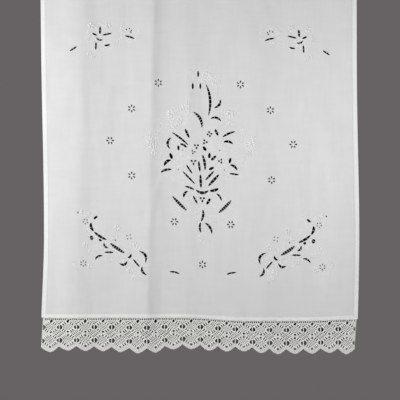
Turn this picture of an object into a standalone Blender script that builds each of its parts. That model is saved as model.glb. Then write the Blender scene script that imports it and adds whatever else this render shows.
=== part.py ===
"""Rod pocket curtain of white batiste with cut whitework and a scalloped lace edging.

Metres, +Z up. The curtain hangs almost flat and its right side faces -Y.
The origin is the middle of the top edge, where the rod pocket's crest bears on its rod.
"""
from collections import namedtuple
from math import cos, exp, hypot, pi, radians, sin

import bmesh
import bpy

MM = 0.001

# Whole curtain
LEFT_END = -0.400
RIGHT_END = 0.399
SEAM_GAP = 0.0003            # between two pieces that are sewn together
CLOTH_THICK = 0.0012
CUT_REACH = 0.050            # how far a cutter stands out of the cloth on each side

# Rod pocket: the cloth goes over the rod and comes down to one stitch line
CREST_RADIUS = 0.013
STITCH_LINE = -0.050
TAIL = 0.006                 # turned edge below the stitch line
CREST_STEPS = 14             # facets over the rod
POCKET_SLOPE = radians(17.0)     # how steeply each layer runs in to the stitch line

# Panel and its turned hems
PANEL_TOP = STITCH_LINE - TAIL - SEAM_GAP
HEM_FOOT = -1.1112           # lower edge of the bottom hem, left half
HEM_SAG = 0.0080             # the right half hangs this much lower
SAG_START = -0.035
SAG_END = 0.255
SAG_RUN = 0.150
SAG_RECOVERY = 0.6           # share of the sag that is gone again at the right edge
SIDE_HEM = 0.0105
FOOT_HEM = 0.0086
HEM_EXTRA = 0.0010           # the turned layers behind the cloth
ROWS = 13
COLUMNS_LEFT = 9             # cells between the left hem and the crease
COLUMNS_RIGHT = 15           # cells between the crease and the right hem
CREASE_FLANK = 0.016         # the narrow cells on each side of the crease

# The side edges bow gently where the cloth has been pulled
BOW_HEIGHT = -0.90
LEFT_BOW, LEFT_BOW_REACH = 0.0095, (0.38, 0.19)     # reach above and below that height
RIGHT_BOW, RIGHT_BOW_REACH = 0.0068, (0.26, 0.24)

# Lace edging
SCALLOPS = 18
SCALLOP_PITCH = 0.044
LACE_LEFT = -0.3957
LACE_TIP = -1.1975           # lowest points, left half
LACE_SAG_SHARE = 0.45        # how much of the hem's sag reaches the tips
SCALLOP_RISE = 0.0125
SCALLOP_POWER = 1.5          # 2 would be round tips, 1 straight-sided ones
LACE_THICK = 0.0014
SCALLOP_STEPS = 4
HALF_MOON_WIDTH = 0.0056
HALF_MOON_HEIGHT = 0.0100
HALF_MOON_BAR = 0.0020       # the plaited bar between two half moons
HALF_MOON_STEPS = 4
HALF_MOON_ROWS = (0.28, 0.675)       # shares of the way from the lace's upper edge to its tips
# How far each scallop's tip hangs below the even line of tips, in millimetres, from the left
TIP_DROPS = (0.9, -3.4, -2.2, -1.3, 0.9, 3.9, 2.2, -5.6, -6.5, -3.4, -3.0, -4.3, 0.0, 3.0, 2.2, 1.7, 0.0, 3.9)
# The lace is drawn to the right as it was sewn on, most at one scallop, and its two cut ends lean
LACE_DRIFT, DRIFT_MIDDLE, DRIFT_REACH = 0.0048, 10.5, 3.6
END_LEAN, END_REACH = 0.0050, 0.8

# Soft folds, from the left. Places are metres across, at the pocket and at the foot.
Fold = namedtuple("Fold", "top_x foot_x height left_reach right_reach power")
CREASE = Fold(-0.108, -0.127, 0.0065, 0.090, 0.018, 1)
FOLDS = (
    Fold(-0.302, -0.306, 0.0065, 0.075, 0.024, 2),
    CREASE,
    Fold(-0.024, -0.030, 0.0015, 0.030, 0.022, 2),
    Fold(0.120, 0.155, 0.0022, 0.090, 0.060, 2),
    Fold(0.395, 0.385, 0.0068, 0.105, 0.050, 2),
)
FOLD_SETTLE = 0.24           # folds grow to full depth over this length below the pocket

# Cut openings, in millimetres. x runs from the embroidery's own centre line, z up from the bottom hem.
# bow is how far the middle stands to the left of the straight way, going from the first end to the second.
Cut = namedtuple("Cut", "from_x from_z to_x to_z bow width")
BOUQUET = (
    # top buds and the long stem
    Cut(-5, 626, -5, 611, 0, 4),
    Cut(-19, 595, -19, 580, 0, 4.5),
    Cut(0, 595, 0, 581, 0, 4),
    Cut(14, 593, 19, 514, 8, 6),
    Cut(34, 534, 50, 555, -6, 6),
    Cut(-19, 522, 2, 483, 8, 7),
    Cut(25, 506, 51, 500, 6, 5.5),
    # upper left of the flower head
    Cut(-40, 479, -30, 457, 0, 5.5),
    Cut(-74, 470, -33, 438, 2, 4.5),
    Cut(-75, 457, -79, 428, -8, 6),
    Cut(-58, 437, -57, 425, 0, 5),
    Cut(-53, 441, -37, 432, 2, 5.5),
    Cut(-79, 417, -74, 403, 0, 7),
    Cut(-77, 400, -94, 385, -4, 7),
    Cut(-103, 368, -76, 376, 3, 5.5),
    # upper right of the flower head
    Cut(12, 472, 18, 463, 0, 6),
    Cut(26, 479, 28, 469, 0, 5),
    Cut(36, 479, 43, 464, 0, 6),
    Cut(55, 460, 86, 474, 2, 5),
    Cut(57, 447, 80, 443, 4, 6),
    Cut(27, 462, 33, 455, 0, 5),
    Cut(4, 455, 10, 447, 0, 5),
    Cut(15, 453, 20, 445, 0, 5),
    Cut(74, 407, 71, 394, 0, 6),
    Cut(73, 390, 90, 377, 3, 6),
    Cut(71, 368, 94, 365, 0, 4),
    # heart of the flower head
    Cut(-15, 443, -10, 430, 0, 6),
    Cut(5, 435, 12, 425, 0, 7),
    Cut(-25, 427, -17, 417, 0, 6),
    Cut(-24, 406, -20, 387, 0, 5),
    Cut(-7, 398, -4, 372, 0, 5),
    Cut(3, 414, 9, 376, 2, 6),
    Cut(21, 419, 20, 406, 0, 6),
    Cut(37, 412, 25, 401, 0, 6),
    Cut(44, 397, 55, 403, 0, 5),
    Cut(19, 377, 31, 383, 0, 6),
    # fan of stems above the knot
    Cut(-38, 388, -24, 367, 0, 4),
    Cut(-48, 372, -17, 340, 0, 4),
    Cut(-3, 364, -2, 331, 0, 6),
    Cut(31, 373, 10, 351, 0, 5),
    Cut(44, 365, 17, 336, 0, 6.5),
    # knot
    Cut(-42, 334, -20, 326, 1, 4.5),
    Cut(-15, 326, 17, 324, -7, 7),
    Cut(21, 323, 42, 329, -1, 7),
    # leaves below the knot
    Cut(-36, 322, -46, 306, -3, 6),
    Cut(37, 316, 49, 299, 3, 4.5),
    Cut(-74, 308, -39, 273, -1, 7),
    Cut(74, 300, 42, 268, 1, 7),
    Cut(-22, 310, -12, 291, 0, 4.5),
    Cut(-3, 310, 0, 299, 0, 7),
    Cut(21, 304, 12, 289, 0, 6.5),
    # tail
    Cut(2, 275, -3, 246, 3, 5.5),
    Cut(-4, 243, -4, 218, -2.5, 5),
    Cut(7, 242, 24, 215, 4.5, 5.5),
)
# These are worked twice, the second time mirrored in the centre line.
PAIRED = (
    # corner spray, from its outer end
    Cut(274, 248, 265, 255, 0, 5),
    Cut(281, 238, 275, 217, 3, 6.5),
    Cut(273, 215, 243, 196, 2, 6),
    Cut(282, 205, 279, 195, 0, 8.5),
    Cut(262, 196, 255, 193, 0, 5),
    Cut(249, 188, 239, 175, 4, 5),
    Cut(233, 187, 198, 163, 1, 7.5),
    Cut(248, 164, 226, 164, 0, 4),
    Cut(272, 145, 253, 155, -4, 4.5),
    Cut(190, 151, 181, 161, 3, 5),
    Cut(211, 137, 191, 143, 7, 6),
    Cut(176, 147, 160, 129, 0, 4),
    Cut(161, 168, 146, 139, -10, 6),
    Cut(153, 130, 142, 109, 6, 5.5),
    # flower and leaves of the upper spray
    Cut(251, 734, 252, 716, 0, 5),
    Cut(271, 717, 260, 712, 0, 4),
    Cut(245, 713, 223, 718, 0, 4),
    Cut(261, 707, 245, 702, 4, 4),
    Cut(262, 695, 263, 676, 0, 4),
    Cut(241, 687, 227, 690, 1, 4),
    Cut(328, 671, 311, 682, 0, 4),
    Cut(189, 712, 165, 705, -1, 4),
    # foot of the cloth
    Cut(84, 117, 60, 112, -2, 4),
)
DESIGN_FOOT = 0.0130         # the worked design leans: its centre line at the hem
DESIGN_LEAN = 0.0143         # and how far that line moves left for each metre up
DESIGN_TILT = 0.0155         # the design hangs lower on its right
DESIGN_BASE = -1.1138        # height that the cuts' z is counted from
BAR_PITCH = 0.0105           # sewn bars cross each opening like a ladder's rungs
BAR_WIDTH = 0.0016
LEAF_BLUNTNESS = 0.42        # 1 would be a pointed lens, 0 a plain slot
ROUNDING = (0.25, 0.70)      # where a gap with a rounded end has its corners, as shares of its length

COTTON_WHITE = (0.80, 0.80, 0.79, 1.0)
LACE_WHITE = (0.76, 0.76, 0.74, 1.0)


def ease(share):
    """Rise smoothly from 0 to 1."""
    share = min(max(share, 0.0), 1.0)
    return share * share * (3.0 - 2.0 * share)


def sag(x):
    """How much lower the hem hangs at x than at the left."""
    return HEM_SAG * (ease((x - SAG_START) / SAG_RUN) - SAG_RECOVERY * ease((x - SAG_END) / SAG_RUN))


def hem_foot(x):
    return HEM_FOOT - sag(x)


def edge_bow(z, reach):
    above, below = reach
    return exp(-((z - BOW_HEIGHT) / (above if z > BOW_HEIGHT else below)) ** 2)


def left_edge(z):
    return LEFT_END + LEFT_BOW * edge_bow(z, LEFT_BOW_REACH)


def right_edge(z):
    return RIGHT_END + RIGHT_BOW * edge_bow(z, RIGHT_BOW_REACH)


def fold_x(fold, z):
    """Where a fold's ridge runs at height z."""
    return fold.top_x + (fold.foot_x - fold.top_x) * z / HEM_FOOT


def forward(x, z):
    """How far the hanging cloth stands in front of the pocket's stitch line."""
    total = 0.0
    for fold in FOLDS:
        across = x - fold_x(fold, z)
        reach = fold.left_reach if across < 0.0 else fold.right_reach
        total += fold.height * exp(-abs(across / reach) ** fold.power)
    return total * ease((PANEL_TOP - z) / FOLD_SETTLE)


def cotton(name, colour, roughness):
    material = bpy.data.materials.new(name)
    material.use_nodes = True
    shader = material.node_tree.nodes["Principled BSDF"]
    shader.inputs["Base Color"].default_value = colour
    shader.inputs["Roughness"].default_value = roughness
    shader.inputs["Metallic"].default_value = 0.0
    return material


def add_object(name, bm, material=None):
    """Turn a bmesh into an object of the scene."""
    mesh = bpy.data.meshes.new(name)
    bm.to_mesh(mesh)
    bm.free()
    if material:
        mesh.materials.append(material)
    piece = bpy.data.objects.new(name, mesh)
    bpy.context.collection.objects.link(piece)
    return piece


def shade_soft(piece):
    piece.data.shade_smooth()
    piece.data.set_sharp_from_angle(angle=radians(35))
    return piece


def lattice(columns, rows, place):
    """A flat sheet of columns x rows cells in the XZ plane, with each corner put by place(column, row)."""
    bm = bmesh.new()
    bmesh.ops.create_grid(bm, x_segments=columns, y_segments=rows, size=1.0)
    for vert in bm.verts:
        column = round((vert.co.x + 1.0) / 2.0 * columns)
        row = round((1.0 - vert.co.y) / 2.0 * rows)
        x, z = place(column, row)
        vert.co = (x, 0.0, z)
    return bm


def thicken(bm, thickness):
    """Give a flat sheet its front at y = 0 and its back at y = thickness."""
    front = bm.faces[:]
    raised = bmesh.ops.extrude_face_region(bm, geom=front, use_keep_orig=True)["geom"]
    back = [item for item in raised if isinstance(item, bmesh.types.BMVert)]
    bmesh.ops.translate(bm, verts=back, vec=(0.0, thickness, 0.0))
    bmesh.ops.recalc_face_normals(bm, faces=bm.faces)


def thicken_hems(bm, is_hem):
    """Lay the turned layers of the hem cells behind the cloth."""
    cells = [face for face in bm.faces if face.normal.y > 0.5 and is_hem(face.calc_center_median())]
    raised = bmesh.ops.extrude_face_region(bm, geom=cells)["geom"]
    layer = [item for item in raised if isinstance(item, bmesh.types.BMVert)]
    bmesh.ops.translate(bm, verts=layer, vec=(0.0, HEM_EXTRA, 0.0))
    bmesh.ops.delete(bm, geom=cells, context="FACES")


def add_prism(bm, outline):
    """Add a closed prism along Y over an outline of (x, z) points."""
    corners = [bm.verts.new((x, -CUT_REACH, z)) for x, z in outline]
    cap = bm.faces.new(corners)
    raised = bmesh.ops.extrude_face_region(bm, geom=[cap], use_keep_orig=True)["geom"]
    far = [item for item in raised if isinstance(item, bmesh.types.BMVert)]
    bmesh.ops.translate(bm, verts=far, vec=(0.0, 2.0 * CUT_REACH, 0.0))


def cut_and_hang(name, bm, outlines, material):
    """Cut the outlines through a flat sheet, then let it hang in its folds."""
    flat = add_object(name + "_flat", bm)
    tool_bm = bmesh.new()
    for outline in outlines:
        add_prism(tool_bm, outline)
    bmesh.ops.recalc_face_normals(tool_bm, faces=tool_bm.faces)
    cutter = add_object(name + "_cutter", tool_bm)
    cutter.hide_render = True
    cutter.display_type = "WIRE"
    boolean = flat.modifiers.new("cut openings", "BOOLEAN")
    boolean.operation = "DIFFERENCE"
    boolean.solver = "EXACT"
    boolean.object = cutter
    graph = bpy.context.evaluated_depsgraph_get()
    hung = bmesh.new()
    hung.from_mesh(flat.evaluated_get(graph).to_mesh())
    for helper in (flat, cutter):
        bpy.data.objects.remove(helper)
    bmesh.ops.triangulate(hung, faces=hung.faces)
    for vert in hung.verts:
        vert.co.y -= forward(vert.co.x, vert.co.z)
    return shade_soft(add_object(name, hung, material))


def design_place(x, z):
    """Put a point of the worked design on the cloth as it hangs."""
    return x + DESIGN_FOOT - DESIGN_LEAN * z, DESIGN_BASE + z - DESIGN_TILT * x


def leaf_point(cut, along, side):
    """A point of a leaf-shaped opening; side is -1 or 1 on its rims and 0 on its middle line."""
    run_x, run_z = cut.to_x - cut.from_x, cut.to_z - cut.from_z
    length = hypot(run_x, run_z)
    left_x, left_z = -run_z / length, run_x / length
    stand = 4.0 * cut.bow * along * (1.0 - along)
    stand += side * 0.5 * cut.width * sin(pi * along) ** LEAF_BLUNTNESS
    x = (cut.from_x + run_x * along + left_x * stand) * MM
    z = (cut.from_z + run_z * along + left_z * stand) * MM
    return design_place(x, z)


def gap_outlines(cut):
    """The gaps of one opening, between its sewn bars."""
    length = hypot(cut.to_x - cut.from_x, cut.to_z - cut.from_z) * MM
    gaps = max(1, round(length / BAR_PITCH))
    half_bar = 0.5 * BAR_WIDTH / length
    outlines = []
    for gap in range(gaps):
        first, last = gap == 0, gap == gaps - 1
        start = 0.0 if first else gap / gaps + half_bar
        end = 1.0 if last else (gap + 1) / gaps - half_bar
        inner = [start + (end - start) * share for share in (ROUNDING if first or last else ())]
        stations = [start] * (not first) + inner + [end] * (not last)
        outline = [leaf_point(cut, along, 1.0) for along in stations]
        if last:
            outline.append(leaf_point(cut, 1.0, 0.0))
        outline += [leaf_point(cut, along, -1.0) for along in reversed(stations)]
        if first:
            outline.append(leaf_point(cut, 0.0, 0.0))
        outlines.append(outline)
    return outlines


def mirrored(cut):
    return cut._replace(from_x=-cut.from_x, to_x=-cut.to_x, bow=-cut.bow)


def panel_column(column, z):
    """Where a line of the panel's lattice runs at height z: close together at the hems and the crease."""
    crease = fold_x(CREASE, z)
    left, right = left_edge(z) + SIDE_HEM, right_edge(z) - SIDE_HEM
    near, far = crease - CREASE_FLANK, crease + CREASE_FLANK
    lines = [left_edge(z)]
    lines += [left + (near - left) * step / COLUMNS_LEFT for step in range(COLUMNS_LEFT + 1)]
    lines.append(crease)
    lines += [far + (right - far) * step / COLUMNS_RIGHT for step in range(COLUMNS_RIGHT + 1)]
    lines.append(right_edge(z))
    return lines[column]


def make_panel(material):
    columns = COLUMNS_LEFT + COLUMNS_RIGHT + 4

    def place(column, row):
        share = row / (ROWS - 1)
        height = PANEL_TOP + (HEM_FOOT + FOOT_HEM - PANEL_TOP) * min(share, 1.0)
        x = panel_column(column, height if row < ROWS else HEM_FOOT)
        top_of_hem = hem_foot(x) + FOOT_HEM
        z = PANEL_TOP + (top_of_hem - PANEL_TOP) * share if row < ROWS else hem_foot(x)
        return x, z

    def is_hem(spot):
        beside = spot.x < left_edge(spot.z) + SIDE_HEM or spot.x > right_edge(spot.z) - SIDE_HEM
        return beside or spot.z < hem_foot(spot.x) + FOOT_HEM

    bm = lattice(columns, ROWS, place)
    thicken(bm, CLOTH_THICK)
    thicken_hems(bm, is_hem)
    openings = list(BOUQUET)
    for cut in PAIRED:
        openings += [cut, mirrored(cut)]
    outlines = [outline for cut in openings for outline in gap_outlines(cut)]
    return cut_and_hang("panel", bm, outlines, material)


def lace_top(x):
    return hem_foot(x) - SEAM_GAP


def lace_x(scallop, share=0.5):
    """Where the lace is at a number of scallops from its left end; share is the way down to the tips."""
    x = LACE_LEFT + SCALLOP_PITCH * scallop
    x += LACE_DRIFT * exp(-((scallop - DRIFT_MIDDLE) / DRIFT_REACH) ** 2)
    ends = exp(-(scallop / END_REACH) ** 2) + exp(-((SCALLOPS - scallop) / END_REACH) ** 2)
    return x + END_LEAN * (0.5 - share) * ends


def tip_line(scallop):
    """The height of the tips there, eased from each tip to the next."""
    place = min(max(scallop - 0.5, 0.0), SCALLOPS - 1.001)
    before = int(place)
    share = ease(place - before)
    drop = TIP_DROPS[before] * (1.0 - share) + TIP_DROPS[before + 1] * share
    return LACE_TIP - LACE_SAG_SHARE * sag(lace_x(scallop)) - drop * MM


def scallop_foot(scallop):
    """The lace's scalloped lower edge."""
    from_tip = 2.0 * (scallop - int(scallop)) - 1.0
    return tip_line(scallop) + SCALLOP_RISE * abs(from_tip) ** SCALLOP_POWER


def half_moon(x, z, side):
    """One rounded half of a hole in the lace, left (-1) or right (1) of its plaited bar."""
    straight = x + side * HALF_MOON_BAR / 2.0
    outline = []
    for step in range(HALF_MOON_STEPS + 1):
        angle = -pi / 2.0 + pi * step / HALF_MOON_STEPS
        across = HALF_MOON_WIDTH * cos(angle)
        outline.append((straight + side * across, z + HALF_MOON_HEIGHT / 2.0 * sin(angle)))
    return outline


def make_lace(material):
    columns = SCALLOPS * SCALLOP_STEPS

    def place(column, row):
        scallop = column / SCALLOP_STEPS
        x = lace_x(scallop, row / 2.0)
        top, foot = lace_top(x), scallop_foot(scallop)
        return x, top + (foot - top) * row / 2.0

    bm = lattice(columns, 2, place)
    thicken(bm, LACE_THICK)
    outlines = []
    for valley in range(1, SCALLOPS):
        for share in HALF_MOON_ROWS:
            x = lace_x(valley, share)
            z = lace_top(x) + (tip_line(valley) - lace_top(x)) * share
            outlines += [half_moon(x, z, side) for side in (-1.0, 1.0)]
    return cut_and_hang("lace_edging", bm, outlines, material)


def pocket_loop(inset):
    """The cloth's way over the rod and down to the stitch line, as (y, z) points, moved inwards by inset."""
    radius = CREST_RADIUS - inset
    loop = []
    for step in range(CREST_STEPS + 1):
        angle = -POCKET_SLOPE + (pi + 2.0 * POCKET_SLOPE) * step / CREST_STEPS
        loop.append((radius * cos(angle), -CREST_RADIUS + radius * sin(angle)))
    return loop


def make_pocket(material):
    outer = pocket_loop(0.0)
    inner = pocket_loop(CLOTH_THICK)
    foot = STITCH_LINE - TAIL
    outer += [(-CLOTH_THICK, STITCH_LINE), (-CLOTH_THICK, foot)]
    outer += [(CLOTH_THICK, foot), (CLOTH_THICK, STITCH_LINE)]
    inner.append((0.0, STITCH_LINE + 2.0 * CLOTH_THICK))
    bm = bmesh.new()
    rings = []
    for loop in (outer, inner):
        corners = [bm.verts.new((LEFT_END, y, z)) for y, z in loop]
        rings += [bm.edges.new(pair) for pair in zip(corners, corners[1:] + corners[:1])]
    bmesh.ops.triangle_fill(bm, edges=rings, use_beauty=True)
    raised = bmesh.ops.extrude_face_region(bm, geom=bm.faces[:], use_keep_orig=True)["geom"]
    far = [item for item in raised if isinstance(item, bmesh.types.BMVert)]
    bmesh.ops.translate(bm, verts=far, vec=(RIGHT_END - LEFT_END, 0.0, 0.0))
    bmesh.ops.recalc_face_normals(bm, faces=bm.faces)
    return shade_soft(add_object("rod_pocket", bm, material))


for old in list(bpy.data.objects):
    bpy.data.objects.remove(old)
make_panel(cotton("panel_cotton", COTTON_WHITE, 0.85))
make_pocket(cotton("pocket_cotton", COTTON_WHITE, 0.85))
make_lace(cotton("lace_cotton", LACE_WHITE, 0.90))
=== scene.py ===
"""Looks of a rod pocket curtain: white batiste with cut whitework and a scalloped lace edging."""
import random
from collections import namedtuple
from math import cos, exp, hypot, pi, radians, sin

import bmesh
import bpy
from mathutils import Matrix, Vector


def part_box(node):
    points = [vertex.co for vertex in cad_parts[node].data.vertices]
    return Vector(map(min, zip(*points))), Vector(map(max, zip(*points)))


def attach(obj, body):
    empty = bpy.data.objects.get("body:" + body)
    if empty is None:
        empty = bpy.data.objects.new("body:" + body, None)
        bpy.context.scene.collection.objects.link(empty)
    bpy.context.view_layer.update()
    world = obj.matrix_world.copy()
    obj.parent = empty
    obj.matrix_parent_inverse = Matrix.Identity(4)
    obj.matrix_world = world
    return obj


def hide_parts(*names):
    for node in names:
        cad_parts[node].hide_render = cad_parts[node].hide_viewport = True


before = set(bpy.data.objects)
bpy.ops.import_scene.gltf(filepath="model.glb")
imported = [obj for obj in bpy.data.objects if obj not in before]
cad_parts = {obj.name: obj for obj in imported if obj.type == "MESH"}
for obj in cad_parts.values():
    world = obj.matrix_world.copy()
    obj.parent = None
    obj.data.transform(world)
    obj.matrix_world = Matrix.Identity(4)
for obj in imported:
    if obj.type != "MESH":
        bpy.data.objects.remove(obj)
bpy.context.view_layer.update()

# Camera, board, floor and light. The curtain hangs flat against a plain grey board and is seen squarely
# from the front, cut off at the top. Soft light comes from the left, a little above the middle. The board's
# grey is darkened right behind the cloth by a painted shadow.
PICTURE_WIDTH = 1.012  # what the picture spans at the cloth
PICTURE_CENTRE = (0.0038, -0.8139)
CAMERA_DISTANCE = 2.4
SENSOR_WIDTH = 36.0
BOARD_SIZE = (2.6, 2.22)
BOARD_PLACE = (0.0, 0.0150, -0.51)  # just behind the rod pocket
BOARD_GREY = (0.1356, 0.1221, 0.1274)
BOARD_PAINTED_SHADOW = 0.0060  # painted shadow: what is left of the grey right behind the cloth
SHADE_REACH = 0.060  # how far the board looks for cloth in front of it
SHADE_FULL, SHADE_NONE = 0.43, 0.52
FLOOR_SIZE = (9.0, 9.0)
FLOOR_Z = -1.62
FLOOR_GREY = (0.70, 0.69, 0.67)
AMBIENT = 0.265
AMBIENT_WHITE = (0.97, 0.98, 1.0)


def new_material(name):
    """An empty material, as two functions: one adds a node to it, the other ends it with its shader."""
    material = bpy.data.materials.new(name)
    material.use_nodes = True
    tree = material.node_tree
    for node in list(tree.nodes):
        if node.type != "OUTPUT_MATERIAL":
            tree.nodes.remove(node)

    def add(kind, inputs=(), **settings):
        """Add a node. inputs gives each socket a value, or the node or node output that it reads."""
        made = tree.nodes.new("ShaderNode" + kind)
        for setting, value in settings.items():
            setattr(made, setting, value)
        for socket, value in dict(inputs).items():
            if isinstance(value, bpy.types.Node):
                value = value.outputs[0]
            if isinstance(value, bpy.types.NodeSocket):
                tree.links.new(value, made.inputs[socket])
            else:
                made.inputs[socket].default_value = value
        return made

    def finish(shader):
        tree.links.new(shader.outputs[0], tree.nodes["Material Output"].inputs["Surface"])
        return material

    return add, finish


def board_material():
    """Even grey, with a painted shadow where cloth lies right in front, and see-through from behind."""
    add, finish = new_material("grey_board")
    # Ambient occlusion dims the board's glow behind the cloth: a painted shadow.
    near = add("AmbientOcclusion", {"Distance": SHADE_REACH}, samples=12)
    painted_shadow_strength = add("MapRange", {"Value": near.outputs["AO"], "From Min": SHADE_FULL, "From Max": SHADE_NONE,
                           "To Min": BOARD_PAINTED_SHADOW, "To Max": 1.0}, interpolation_type="SMOOTHSTEP")
    grey = add("Emission", {"Color": (*BOARD_GREY, 1.0), "Strength": painted_shadow_strength})
    behind = add("NewGeometry").outputs["Backfacing"]
    return finish(add("MixShader", {0: behind, 1: grey, 2: add("BsdfTransparent")}))


def floor_material():
    add, finish = new_material("pale_floor")
    return finish(add("BsdfPrincipled", {"Base Color": (*FLOOR_GREY, 1.0), "Roughness": 0.8}))


def stage_plane(name, size, place, tilt, material):
    """A plane that is no part of the object, tilted up by tilt degrees."""
    bm = bmesh.new()
    bmesh.ops.create_grid(bm, x_segments=1, y_segments=1, size=0.5)
    mesh = bpy.data.meshes.new(name)
    bm.to_mesh(mesh)
    bm.free()
    mesh.materials.append(material)
    plane = bpy.data.objects.new(name, mesh)
    plane.scale = (*size, 1.0)
    plane.location = place
    plane.rotation_euler = (radians(tilt), 0, 0)
    bpy.context.collection.objects.link(plane)
    return plane


def soft_light(name, place, aim, size, watts):
    lamp = bpy.data.lights.new(name, "AREA")
    lamp.shape = "DISK"
    lamp.size = size
    lamp.energy = watts
    light = bpy.data.objects.new(name, lamp)
    light.location = place
    light.rotation_euler = (Vector(aim) - Vector(place)).to_track_quat("-Z", "Y").to_euler()
    light.visible_camera = False
    bpy.context.collection.objects.link(light)


board = stage_plane("grey_board", BOARD_SIZE, BOARD_PLACE, 90, board_material())
board.visible_shadow = False
stage_plane("floor", FLOOR_SIZE, (0.0, 0.0, FLOOR_Z), 0, floor_material())

camera_data = bpy.data.cameras.new("camera")
camera_data.sensor_width = SENSOR_WIDTH
camera_data.lens = SENSOR_WIDTH * CAMERA_DISTANCE / PICTURE_WIDTH
camera = bpy.data.objects.new("camera", camera_data)
camera.location = (PICTURE_CENTRE[0], -CAMERA_DISTANCE, PICTURE_CENTRE[1])
camera.rotation_euler = (radians(90), 0, 0)
bpy.context.collection.objects.link(camera)
bpy.context.scene.camera = camera
bpy.context.scene.view_settings.view_transform = "Standard"

soft_light("key", (-1.30, -0.80, -0.55), (-0.1, 0.0, -0.60), 0.6, 17.3)
soft_light("fill", (0.50, -0.80, -0.66), (0.3, 0.0, -0.60), 0.5, 3.8)
soft_light("back_left", (1.9, 2.2, 0.5), (0.0, 0.0, -0.60), 1.4, 55.0)
soft_light("back_right", (-2.2, 2.0, 0.2), (0.0, 0.0, -0.60), 1.4, 30.0)
world = bpy.data.worlds.new("room")
world.use_nodes = True
room_light = world.node_tree.nodes["Background"].inputs
room_light["Color"].default_value = (*AMBIENT_WHITE, 1.0)
room_light["Strength"].default_value = AMBIENT
bpy.context.scene.world = world

# Rod pocket. The top of the batiste goes over where the rod lies and comes down behind, and one row of
# machine stitches holds both layers 50 mm below the crest. The side hems run on up into it.
POCKET_LOW, POCKET_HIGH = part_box("rod_pocket")
LEFT_END, RIGHT_END = POCKET_LOW.x, POCKET_HIGH.x
CLOTH_Y = 0.0006  # the cloth's middle plane where it hangs flat
CREST_RADIUS = POCKET_HIGH.y
POCKET_FOOT = POCKET_LOW.z
STITCH_LINE = -0.050
POCKET_SLOPE = radians(17.0)
CREST_STEPS = 16
POCKET_COLUMNS = 120
PUCKER = 0.0005  # how far the stitched line draws the cloth in and out
PUCKER_PITCH = 0.019
PUCKER_REACH = 0.012
PUCKER_WANDER, WANDER_TURN = 1.8, 31.0  # how unevenly the puckers follow one another
SIDE_HEM = 0.0105
LAYER_GAP = 0.0008  # from one turned layer to the next
STITCH_PITCH = 0.0030
STITCH_LENGTH = 0.0022
STITCH_RADIUS = 0.00022
SEAM_START = 0.3  # of a stitch's pitch, from the cloth's edge
BATISTE_WHITE = (0.800, 0.801, 0.800)
BATISTE_SHADE = (0.770, 0.771, 0.771)
SEE_THROUGH = 0.84  # alpha of one layer of the thin cloth
HEM_COVER = 0.99  # and of the layers of a hem
WEAVE_PITCH = 0.00045


def blend(add, factor, low, high):
    """The colour between low and high that factor gives."""
    mix = add("Mix", {"Factor": factor, "A": (*low, 1.0), "B": (*high, 1.0)}, data_type="RGBA")
    return mix.outputs["Result"]


def batiste(name, alpha):
    """Thin plain-woven cotton with uneven threads. Hemmed parts take a higher alpha than a single layer."""
    add, finish = new_material(name)
    place = add("TexCoord").outputs["Object"]
    threads, slubs = [], []
    for across, thread_scale, slub_scale, seed in (("X", (900.0, 900.0, 22.0), (95.0, 95.0, 14.0), 0.0),
                                                   ("Z", (22.0, 900.0, 900.0), (14.0, 95.0, 95.0), 40.0)):
        along, streaks = [add("Mapping", {"Vector": place, "Scale": scale, "Location": (seed, 0.0, seed)})
                          for scale in (thread_scale, slub_scale)]
        uneven = add("TexNoise", {"Vector": along, "Scale": 1.0, "Detail": 1.0})
        bands = add("TexWave", {"Vector": place, "Scale": pi / 10.0 / WEAVE_PITCH, "Distortion": 1.2,
                                "Detail": 1.0, "Detail Scale": 0.4}, bands_direction=across)
        threads.append(add("Math", {0: bands.outputs["Fac"], 1: uneven}, operation="MULTIPLY"))
        slubs.append(add("TexNoise", {"Vector": streaks, "Scale": 1.0, "Detail": 3.0, "Distortion": 0.6}))
    weave = add("Math", {0: threads[0], 1: threads[1]}, operation="ADD")
    tone = add("Math", {0: slubs[0], 1: slubs[1]}, operation="ADD")
    spread = add("MapRange", {"Value": tone, "From Min": 0.75, "From Max": 1.25})
    # soft crumples, longer than wide, and smaller ones over them
    drop = add("Mapping", {"Vector": place, "Scale": (1.0, 1.0, 0.55)})
    crumples = add("TexNoise", {"Vector": drop, "Scale": 13.0, "Detail": 1.0, "Distortion": 0.15})
    wrinkles = add("TexNoise", {"Vector": drop, "Scale": 24.0, "Detail": 1.0, "Distortion": 0.8},
                   noise_type="RIDGED_MULTIFRACTAL")
    large = add("Bump", {"Strength": 0.62, "Distance": 0.008, "Height": crumples})
    soft = add("Bump", {"Strength": 0.20, "Distance": 0.0010, "Height": wrinkles, "Normal": large})
    fine = add("Bump", {"Strength": 0.2, "Distance": 0.0001, "Height": weave, "Normal": soft})
    return finish(add("BsdfPrincipled", {"Base Color": blend(add, spread, BATISTE_SHADE, BATISTE_WHITE),
                                         "Roughness": 0.85, "Alpha": alpha, "Sheen Weight": 0.06,
                                         "Sheen Roughness": 0.5, "Normal": fine,
                                         "Specular IOR Level": 0.25}))


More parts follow.
